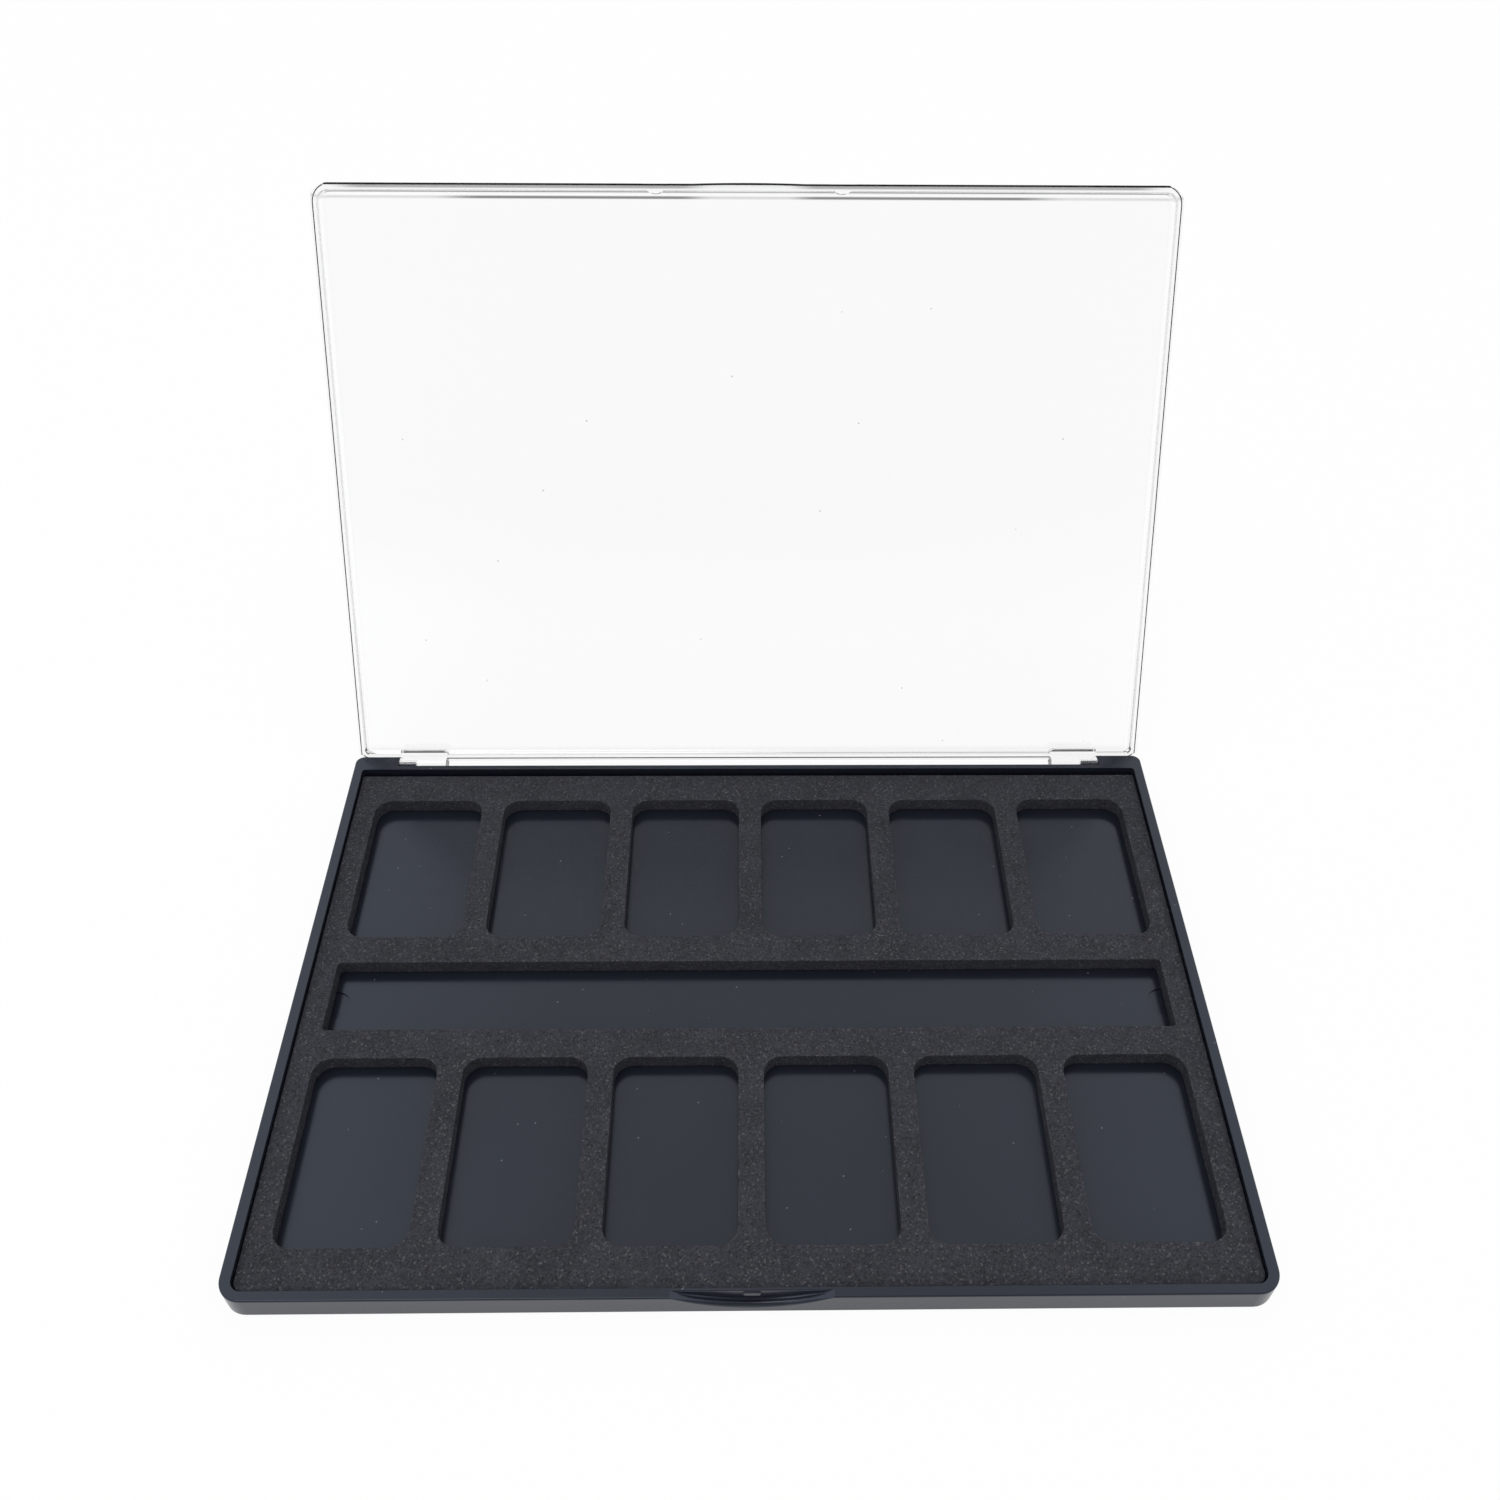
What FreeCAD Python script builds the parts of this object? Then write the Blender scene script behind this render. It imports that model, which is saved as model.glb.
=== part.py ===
# An empty paint case: a black tray, a foam sheet with wells and a brush slot, a clear lid on two steel pins.
# Frame: +X to the right, +Y to the hinge, +Z up, in millimetres. The origin is the centre of the underside.
import FreeCAD, Part
import math
import os
import re

import Sketcher

# Driving sizes: name, value in millimetres or degrees, what it is
SIZES = (
    ("case_width", 250.0, "tray, left to right"),
    ("case_depth", 175.0, "tray, front to back"),
    ("case_front_radius", 6.0, "tray's upright front corners"),
    ("case_back_radius", 2.5, "tray's upright back corners"),
    ("tray_height", 7.5, "underside to rim"),
    ("tray_side_wall", 2.8, "width of the rim at the sides"),
    ("tray_front_wall", 2.5, "width of the rim at the front"),
    ("tray_back_wall", 1.6, "width of the rim at the back"),
    ("tray_floor", 1.2, "thickness of the floor"),
    ("tray_front_inner_radius", 3.0, "front inner corners"),
    ("tray_back_inner_radius", 1.0, "back inner corners"),
    ("tray_foot_radius", 0.3, "rounding under the tray"),
    ("tray_rim_radius", 0.4, "rounding of the rim's outer edge"),
    ("ejector_radius", 4.4, "round moulding mark in the floor"),
    ("ejector_depth", 0.4, "depth of a moulding mark"),
    ("ejector_inset", 6.8, "moulding mark's centre from the side wall"),
    ("ear_width", 13.6, "hinge ear, left to right"),
    ("hinge_notch_depth", 4.0, "gap between the ears, front to back"),
    ("hinge_axis_inset", 1.9, "hinge axis from the tray's back"),
    ("hinge_axis_drop", 1.5, "hinge axis below the rim"),
    ("pin_radius", 0.7, "hinge pin"),
    ("pin_bevel", 0.2, "bevel at a pin's ends"),
    ("pin_recess", 0.8, "pin's outer end inside the ear's side"),
    ("pin_reach", 5.0, "length of pin inside a lug"),
    ("pin_ear_gap", 0.01, "pin to ear, on the radius"),
    ("pin_lug_gap", 0.05, "pin to lug, on the radius"),
    ("pin_end_gap", 0.5, "lug's bore past the pin"),
    ("scoop_width", 38.5, "finger scoop at the rim"),
    ("scoop_reach", 1.8, "finger scoop, into the front wall"),
    ("scoop_ledge_height", 3.0, "scoop's ledge above the underside"),
    ("scoop_front_radius", 0.95, "roll of the scoop's ledge over to the front"),
    ("scoop_cove_radius", 0.3, "cove from the scoop's ledge to its wall"),
    ("scoop_top_radius", 0.35, "roll of the scoop's wall over to the rim"),
    ("nub_width", 4.4, "catch nub, left to right"),
    ("nub_height", 1.7, "catch nub, up and down"),
    ("nub_reach", 0.4, "catch nub, out of the wall"),
    ("nub_end_flat", 0.1, "straight part of the nub's rounded ends"),
    ("nub_edge_share", 0.8, "rounding of the nub's face, as a share of its reach"),
    ("foam_thickness", 4.9, "foam sheet"),
    ("foam_side_gap", 0.25, "foam to the tray's side walls"),
    ("foam_front_gap", 0.5, "foam to the tray's front wall"),
    ("foam_back_gap", 1.55, "foam to the tray's back wall"),
    ("foam_side_border", 6.35, "foam left and right of the wells"),
    ("foam_end_border", 10.45, "foam in front of and behind the wells"),
    ("wells_per_row", 6, "wells in each of the two rows"),
    ("well_gap", 6.7, "foam between wells"),
    ("well_corner_radius", 5.0, "wells' corners"),
    ("row_gap", 8.75, "foam between a row and the brush slot"),
    ("slot_width", 22.1, "brush slot, front to back"),
    ("slot_corner_radius", 1.0, "brush slot's corners"),
    ("lid_open_angle", 118.0, "lid from shut to its open stop"),
    ("lid_side_inset", 0.65, "lid inside the tray's sides"),
    ("lid_front_inset", 0.7, "lid inside the tray's front"),
    ("lid_back_reach", 1.5, "lid's back wall past the tray's back rim"),
    ("lid_seat_gap", 0.2, "shut lid above the rim"),
    ("lid_height", 4.8, "lid's walls and panel"),
    ("lid_panel", 1.5, "thickness of the panel"),
    ("lid_wall", 1.8, "thickness of the walls"),
    ("lid_front_radius", 5.2, "lid's front corners"),
    ("lid_back_radius", 2.2, "lid's back corners"),
    ("lid_back_inner_radius", 2.0, "lid's back inner corners"),
    ("lid_edge_radius", 0.4, "rounding of the panel's outer edge"),
    ("lid_roll_width", 1.0, "roll of the panel over to the front wall"),
    ("lid_roll_share", 1.05, "radius of that roll, as a share of its width"),
    ("lid_root_radius", 1.5, "rounding inside, from walls to panel"),
    ("ear_relief_height", 1.6, "room over the ears for the lid's swing"),
    ("ear_relief_front", 0.5, "that room in front of the tray's back rim line"),
    ("knuckle_radius", 1.8, "round of a lug about the hinge axis"),
    ("lug_length", 14.7, "hinge lug, left to right"),
    ("lug_end_gap", 0.3, "hinge lug to ear"),
    ("lug_inner_step", 1.7, "lug inside the lid's back wall"),
    ("lug_lip_height", 1.4, "height of that step"),
    ("lug_back_height", 2.0, "lug's back above the hinge axis"),
    ("lug_root_drop", 1.3, "lug's root below the lid's top"),
    ("lug_end_bevel", 1.3, "slope at the lug's inner end"),
    ("lug_root_sink", 0.6, "lug's root inside the back wall"),
    ("stop_gap", 0.1, "open stop to the tray's back wall"),
    ("stop_lead", 0.4, "stop face before its foot"),
    ("stop_heel", 0.9, "stop face after its foot"),
    ("tongue_side_gap", 3.25, "snap tongue inside the scoop's ends"),
    ("tongue_thickness", 0.55, "snap tongue"),
    ("finger_gap", 1.2, "snap tongue above the scoop's ledge"),
    ("bead_width", 8.0, "catch bead, left to right"),
    ("bead_height", 0.6, "catch bead, up and down"),
    ("bead_reach", 0.1, "catch bead, out of the tongue"),
    ("bead_margin", 0.1, "bead above the tongue's lower edge"),
    ("snap_gap", 0.3, "nub above the bead when shut"),
    ("pad_spacing", 53.2, "between the two moulding pads on the lid's front wall"),
    ("pad_width", 4.9, "moulding pad at the wall's inner face"),
    ("pad_reach", 0.8, "moulding pad, out of the wall"),
    ("pad_recess", 0.3, "moulding pad below the wall's edge"),
    ("cut_margin", 1.0, "how far a cut or a root runs past a face"),
)
NAMES = {name for name, _, _ in SIZES}
FLAT = 1e-4  # millimetres within which an edge counts as lying in a plane

# Formulas of sizes that several pieces share
HALF_WIDTH = "(case_width / 2)"
HALF_DEPTH = "(case_depth / 2)"
INNER_SIDE = f"({HALF_WIDTH} - tray_side_wall)"
INNER_FRONT = f"({HALF_DEPTH} - tray_front_wall)"
INNER_BACK = f"({HALF_DEPTH} - hinge_notch_depth - tray_back_wall)"
EAR_INNER = f"({HALF_WIDTH} - ear_width)"
AXIS_Y = f"({HALF_DEPTH} - hinge_axis_inset)"
AXIS_Z = "(tray_height - hinge_axis_drop)"
SCOOP_WALL = f"({HALF_DEPTH} - scoop_reach)"
TONGUE_BOTTOM = "(scoop_ledge_height + finger_gap)"
BEAD_BOTTOM = f"({TONGUE_BOTTOM} + bead_margin)"
NUB_BOTTOM = f"({BEAD_BOTTOM} + bead_height + snap_gap)"
FOAM_SIDE = f"({INNER_SIDE} - foam_side_gap)"
FOAM_FRONT = f"({INNER_FRONT} - foam_front_gap)"
FOAM_BACK = f"({INNER_BACK} - foam_back_gap)"
FOAM_MIDDLE = f"(({FOAM_BACK} - {FOAM_FRONT}) / 2)"
FOAM_HALF_DEPTH = f"(({FOAM_BACK} + {FOAM_FRONT}) / 2)"
WELL_PITCH = f"((2 * ({FOAM_SIDE} - foam_side_border) + well_gap) / wells_per_row)"
ROW_INNER = "(slot_width / 2 + row_gap)"
ROW_OUTER = f"({FOAM_HALF_DEPTH} - foam_end_border)"

# Formulas in the lid's own frame, whose origin is on the hinge axis with the lid shut
NOTCH_FACE = "(hinge_notch_depth - hinge_axis_inset)"
LID_SIDE = f"({HALF_WIDTH} - lid_side_inset)"
LID_FRONT = f"({AXIS_Y} + {HALF_DEPTH} - lid_front_inset)"
LID_BACK = f"(lid_back_reach - {NOTCH_FACE})"
LID_BOTTOM = "(hinge_axis_drop + lid_seat_gap)"
LID_TOP = f"({LID_BOTTOM} + lid_height)"
LUG_END = f"({EAR_INNER} - lug_end_gap)"

doc = FreeCAD.newDocument("paint_case")
sheet = doc.addObject("Spreadsheet::Sheet", "Sizes")
for row, (name, size, note) in enumerate(SIZES, start=1):
    sheet.set(f"A{row}", note)
    sheet.set(f"B{row}", str(size))
    sheet.setAlias(f"B{row}", name)
doc.recompute()


def sized(formula):
    """The formula with each size's name turned into its cell."""
    return re.sub(r"[a-z_]+", lambda word: f"Sizes.{word[0]}" if word[0] in NAMES else word[0], formula)


def number(formula):
    """The formula's value now."""
    return float(sheet.evalExpression(sized(formula)))


def new_body(name):
    """An empty body whose label names its file."""
    body = doc.addObject("PartDesign::Body", name)
    body.Label = name
    return body


def new_sketch(body, name, role, offset="0"):
    """A sketch on one of the body's origin planes, moved along that plane's normal."""
    plane = next(feature for feature in body.Origin.OriginFeatures if feature.Role == role)
    sketch = body.newObject("Sketcher::SketchObject", name)
    sketch.AttachmentSupport = [(plane, "")]
    sketch.MapMode = "FlatFace"
    sketch.setExpression("AttachmentOffset.Base.z", sized(offset))
    return sketch


def hold(sketch, kind, *where_and_formula):
    """A dimension of the sketch, bound to a formula of sizes."""
    *where, formula = where_and_formula
    index = sketch.addConstraint(Sketcher.Constraint(kind, *where, number(formula)))
    sketch.setExpression(f"Constraints[{index}]", sized(formula))


def hold_point(sketch, geometry, end, x, y):
    """Both coordinates of one end of a line or an arc, from the sketch's origin."""
    hold(sketch, "DistanceX", -1, 1, geometry, end, x)
    hold(sketch, "DistanceY", -1, 1, geometry, end, y)


def draw_polygon(sketch, corners):
    """A closed outline of straight lines through the corners."""
    points = [FreeCAD.Vector(number(x), number(y), 0) for x, y in corners]
    for start, end in zip(points, points[1:] + points[:1]):
        sketch.addGeometry(Part.LineSegment(start, end))
    for line in range(len(points)):
        sketch.addConstraint(Sketcher.Constraint("Coincident", line, 2, (line + 1) % len(points), 1))
    for line, (x, y) in enumerate(corners):
        hold_point(sketch, line, 1, x, y)


def draw_circle(sketch, x, y, radius):
    """A circle about a point."""
    centre = FreeCAD.Vector(number(x), number(y), 0)
    sketch.addGeometry(Part.Circle(centre, FreeCAD.Vector(0, 0, 1), number(radius)))
    hold_point(sketch, 0, 3, x, y)
    hold(sketch, "Radius", 0, radius)


def draw_rounded(sketch, left, right, front, back, front_radius, back_radius):
    """A rectangle with arcs at its corners, drawn from the front line round by the right."""
    x0, x1, y0, y1 = (number(side) for side in (left, right, front, back))
    radii = (front_radius, back_radius, back_radius, front_radius)
    corner = ((x1, y0, -1, 1), (x1, y1, -1, -1), (x0, y1, 1, -1), (x0, y0, 1, 1))
    centres = []
    for (x, y, side, along), radius in zip(corner, radii):
        centres.append(FreeCAD.Vector(x + side * number(radius), y + along * number(radius), 0))
    outward = [FreeCAD.Vector(x, y, 0) for x, y in ((0, -1), (1, 0), (0, 1), (-1, 0))]
    for side in range(4):
        start = centres[side - 1] + outward[side] * number(radii[side - 1])
        end = centres[side] + outward[side] * number(radii[side])
        sketch.addGeometry(Part.LineSegment(start, end))
        circle = Part.Circle(centres[side], FreeCAD.Vector(0, 0, 1), number(radii[side]))
        turn = math.pi / 2 * (side - 1)
        sketch.addGeometry(Part.ArcOfCircle(circle, turn, turn + math.pi / 2))
    for side, (edge, axis) in enumerate(((front, "Y"), (right, "X"), (back, "Y"), (left, "X"))):
        line = 2 * side
        sketch.addConstraint(Sketcher.Constraint("Horizontal" if axis == "Y" else "Vertical", line))
        sketch.addConstraint(Sketcher.Constraint("Tangent", line, 2, line + 1, 1))
        sketch.addConstraint(Sketcher.Constraint("Tangent", line + 1, 2, (line + 2) % 8, 1))
        hold(sketch, "Distance" + axis, -1, 1, line, 1, edge)
        hold(sketch, "Radius", line + 1, radii[side])


def draw_roll(sketch, x, y, width, share, margin):
    """What a roll takes off a square corner: an arc of some width along both faces, closed outside them."""
    radius = f"({width} * {share})"
    low, high = (x, f"{y} - {width}"), (f"{x} + {width}", y)
    past, over = f"{x} - {margin}", f"{y} + {margin}"
    outside = ((past, low[1]), (past, over), (high[0], over))
    start, end = (FreeCAD.Vector(number(px), number(py), 0) for px, py in (high, low))
    reach = math.sqrt(number(radius) ** 2 - number(width) ** 2 / 2)
    centre = (start + end) / 2 + FreeCAD.Vector(1, -1, 0) * (reach / math.sqrt(2))
    swing = math.asin(number(width) / (math.sqrt(2) * number(radius)))
    circle = Part.Circle(centre, FreeCAD.Vector(0, 0, 1), number(radius))
    sketch.addGeometry(Part.ArcOfCircle(circle, math.pi * 3 / 4 - swing, math.pi * 3 / 4 + swing))
    points = [FreeCAD.Vector(number(px), number(py), 0) for px, py in (low, *outside, high)]
    for first, last in zip(points, points[1:]):
        sketch.addGeometry(Part.LineSegment(first, last))
    for piece in range(5):
        sketch.addConstraint(Sketcher.Constraint("Coincident", piece, 2, (piece + 1) % 5, 1))
    for piece, (px, py) in enumerate((high, low, *outside)):
        hold_point(sketch, piece, 1, px, py)
    hold(sketch, "Radius", 0, radius)


def draw_segment(sketch, middle, chord, width, bulge, margin, side):
    """A round segment: an arc that bulges past a chord, down (-1) or up (1), closed past the chord."""
    x, y, half, sagitta = number(middle), number(chord), number(width) / 2, number(bulge)
    radius = (half * half + sagitta * sagitta) / (2 * sagitta)
    centre_y = y + side * (sagitta - radius)
    swing = math.atan2(half, radius - sagitta)
    aim = side * math.pi / 2
    circle = Part.Circle(FreeCAD.Vector(x, centre_y, 0), FreeCAD.Vector(0, 0, 1), radius)
    sketch.addGeometry(Part.ArcOfCircle(circle, aim - swing, aim + swing))
    first = (f"{middle} + {side} * {width} / 2", chord)
    last = (f"{middle} - {side} * {width} / 2", chord)
    far = f"{chord} - {side} * {margin}"
    corners = (last, (last[0], far), (first[0], far), first)
    points = [FreeCAD.Vector(number(px), number(py), 0) for px, py in corners]
    for start, end in zip(points, points[1:]):
        sketch.addGeometry(Part.LineSegment(start, end))
    for piece in range(4):
        sketch.addConstraint(Sketcher.Constraint("Coincident", piece, 2, (piece + 1) % 4, 1))
    for piece, (px, py) in enumerate((first, *corners[:3])):
        hold_point(sketch, piece, 1, px, py)
    hold(sketch, "Radius", 0, f"(({width}) ^ 2 / 4 + ({bulge}) ^ 2) / (2 * ({bulge}))")


def grow(body, name, sketch, length, backward=False):
    """Adds the sketch's area along its normal, or against it."""
    pad = body.newObject("PartDesign::Pad", name)
    pad.Profile = sketch
    pad.setExpression("Length", sized(length))
    pad.Reversed = backward
    doc.recompute()
    return pad


def cut(body, name, sketch, depth, along=False):
    """Takes the sketch's area away against its normal, or along it."""
    before = body.Shape.Volume
    pocket = body.newObject("PartDesign::Pocket", name)
    pocket.Profile = sketch
    pocket.setExpression("Length", sized(depth))
    pocket.Reversed = along
    doc.recompute()
    if body.Shape.Volume >= before:
        raise RuntimeError(f"{name} cuts nothing")
    return pocket


def dress(body, kind, name, base, size, chosen):
    """Rounds or bevels the chosen edges of the body's last feature."""
    edges = [f"Edge{n}" for n, edge in enumerate(base.Shape.Edges, start=1) if chosen(edge.BoundBox)]
    feature = body.newObject(f"PartDesign::{kind}", name)
    feature.Base = (base, edges)
    feature.setExpression("Radius" if kind == "Fillet" else "Size", sized(size))
    doc.recompute()
    return feature


def lies_at(low, high, place):
    """Whether an extent is flat at a place."""
    return abs(low - place) < FLAT and abs(high - place) < FLAT


def make_tray():
    """The black moulding: floor, rim, two hinge ears, finger scoop with its catch nub, moulding marks."""
    body = new_body("base_tray")

    # Block, with its rounded outer edges
    outline = new_sketch(body, "tray_outline", "XY_Plane")
    draw_rounded(outline, f"-{HALF_WIDTH}", HALF_WIDTH, f"-{HALF_DEPTH}", HALF_DEPTH,
                 "case_front_radius", "case_back_radius")
    block = grow(body, "tray_block", outline, "tray_height")
    foot = dress(body, "Fillet", "tray_foot", block, "tray_foot_radius",
                 lambda box: lies_at(box.ZMin, box.ZMax, 0))
    top = number("tray_height")
    dress(body, "Fillet", "tray_rim", foot, "tray_rim_radius",
          lambda box: lies_at(box.ZMin, box.ZMax, top))

    # Inside, and the gap for the lid's lugs between the ears
    inside = new_sketch(body, "tray_inside_outline", "XY_Plane", "tray_height")
    draw_rounded(inside, f"-{INNER_SIDE}", INNER_SIDE, f"-{INNER_FRONT}", INNER_BACK,
                 "tray_front_inner_radius", "tray_back_inner_radius")
    cut(body, "tray_inside", inside, "tray_height - tray_floor")
    notch = new_sketch(body, "hinge_notch_outline", "XY_Plane", "tray_height")
    notch_front = f"{HALF_DEPTH} - hinge_notch_depth"
    notch_back = f"{HALF_DEPTH} + cut_margin"
    draw_polygon(notch, ((f"-{EAR_INNER}", notch_front), (EAR_INNER, notch_front),
                         (EAR_INNER, notch_back), (f"-{EAR_INNER}", notch_back)))
    cut(body, "hinge_notch", notch, "tray_height")

    # Finger scoop: its ledge rolls over to the front, and a cove joins it to its wall, which rolls to the rim
    ledge_profile = []
    for turn in (0, 30, 55, 75, 90):
        ledge_profile.append((f"scoop_front_radius * (1 - cos({turn}))",
                              f"scoop_ledge_height - scoop_front_radius * (1 - sin({turn}))"))
    for turn in (0, 45, 90):
        ledge_profile.append((f"scoop_reach - scoop_cove_radius * (1 - sin({turn}))",
                              f"scoop_ledge_height + scoop_cove_radius * (1 - cos({turn}))"))
    sections = []
    for step, (depth, height) in enumerate(ledge_profile, start=1):
        section = new_sketch(body, f"scoop_section_{step}", "XZ_Plane", f"{HALF_DEPTH} - ({depth})")
        drop = f"(tray_height - ({height}))"
        draw_segment(section, "0", "tray_height", "scoop_width", drop, "cut_margin", -1)
        sections.append(section)
    before = body.Shape.Volume
    scoop = body.newObject("PartDesign::SubtractiveLoft", "scoop")
    scoop.Profile = sections[0]
    scoop.Sections = sections[1:]
    scoop.Ruled = True
    doc.recompute()
    if body.Shape.Volume >= before:
        raise RuntimeError("scoop cuts nothing")
    wall = -number(SCOOP_WALL)
    top_roll = "min(scoop_top_radius; (tray_front_wall - scoop_reach) / 2)"
    dress(body, "Fillet", "scoop_top", scoop, top_roll,
          lambda box: lies_at(box.YMin, box.YMax, wall) and lies_at(box.ZMin, box.ZMax, top))

    # Catch nub on the scoop's wall
    nub = new_sketch(body, "nub_outline", "XZ_Plane", SCOOP_WALL)
    nub_corner = "(nub_height - nub_end_flat) / 2"
    draw_rounded(nub, "-nub_width / 2", "nub_width / 2", NUB_BOTTOM, f"{NUB_BOTTOM} + nub_height",
                 nub_corner, nub_corner)
    nub_pad = grow(body, "nub", nub, "nub_reach")
    nub_face = wall - number("nub_reach")
    dress(body, "Fillet", "nub_edge", nub_pad, "nub_reach * nub_edge_share",
          lambda box: lies_at(box.YMin, box.YMax, nub_face))

    # Pin holes through the ears, and the round moulding marks on the floor
    for side, sign in (("left", "-1"), ("right", "1")):
        hole = new_sketch(body, f"ear_hole_{side}_outline", "YZ_Plane", f"{sign} * {HALF_WIDTH}")
        draw_circle(hole, AXIS_Y, AXIS_Z, "pin_radius + pin_ear_gap")
        cut(body, f"ear_hole_{side}", hole, "ear_width", along=side == "left")
        mark = new_sketch(body, f"ejector_mark_{side}_outline", "XY_Plane", "tray_floor")
        draw_circle(mark, f"{sign} * ({INNER_SIDE} - ejector_inset)", FOAM_MIDDLE, "ejector_radius")
        cut(body, f"ejector_mark_{side}", mark, "ejector_depth")
    return body


def make_foam():
    """The black die-cut sheet: two rows of wells with the brush slot between them."""
    body = new_body("foam_insert")
    outline = new_sketch(body, "foam_outline", "XY_Plane", "tray_floor")
    draw_rounded(outline, f"-{FOAM_SIDE}", FOAM_SIDE, f"-{FOAM_FRONT}", FOAM_BACK,
                 "tray_front_inner_radius - foam_side_gap", "tray_back_inner_radius - foam_side_gap")
    grow(body, "foam_sheet", outline, "foam_thickness")
    top = "tray_floor + foam_thickness"
    left = f"-({FOAM_SIDE} - foam_side_border)"

    # One well of each row, repeated along the row
    for row_name, low, high in (("front", f"-{ROW_OUTER}", f"-{ROW_INNER}"), ("back", ROW_INNER, ROW_OUTER)):
        well = new_sketch(body, f"{row_name}_well_outline", "XY_Plane", top)
        draw_rounded(well, left, f"{left} + {WELL_PITCH} - well_gap",
                     f"{FOAM_MIDDLE} + {low}", f"{FOAM_MIDDLE} + {high}",
                     "well_corner_radius", "well_corner_radius")
        first = cut(body, f"{row_name}_well", well, "foam_thickness")
        wells = body.newObject("PartDesign::LinearPattern", f"{row_name}_wells")
        wells.Originals = [first]
        wells.Direction = (well, ["H_Axis"])
        wells.setExpression("Length", sized(f"{WELL_PITCH} * (wells_per_row - 1)"))
        wells.setExpression("Occurrences", sized("wells_per_row"))
        body.Tip = wells
        doc.recompute()

    slot = new_sketch(body, "brush_slot_outline", "XY_Plane", top)
    draw_rounded(slot, left, f"{FOAM_SIDE} - foam_side_border",
                 f"{FOAM_MIDDLE} - slot_width / 2", f"{FOAM_MIDDLE} + slot_width / 2",
                 "slot_corner_radius", "slot_corner_radius")
    cut(body, "brush_slot", slot, "foam_thickness")
    return body


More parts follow.
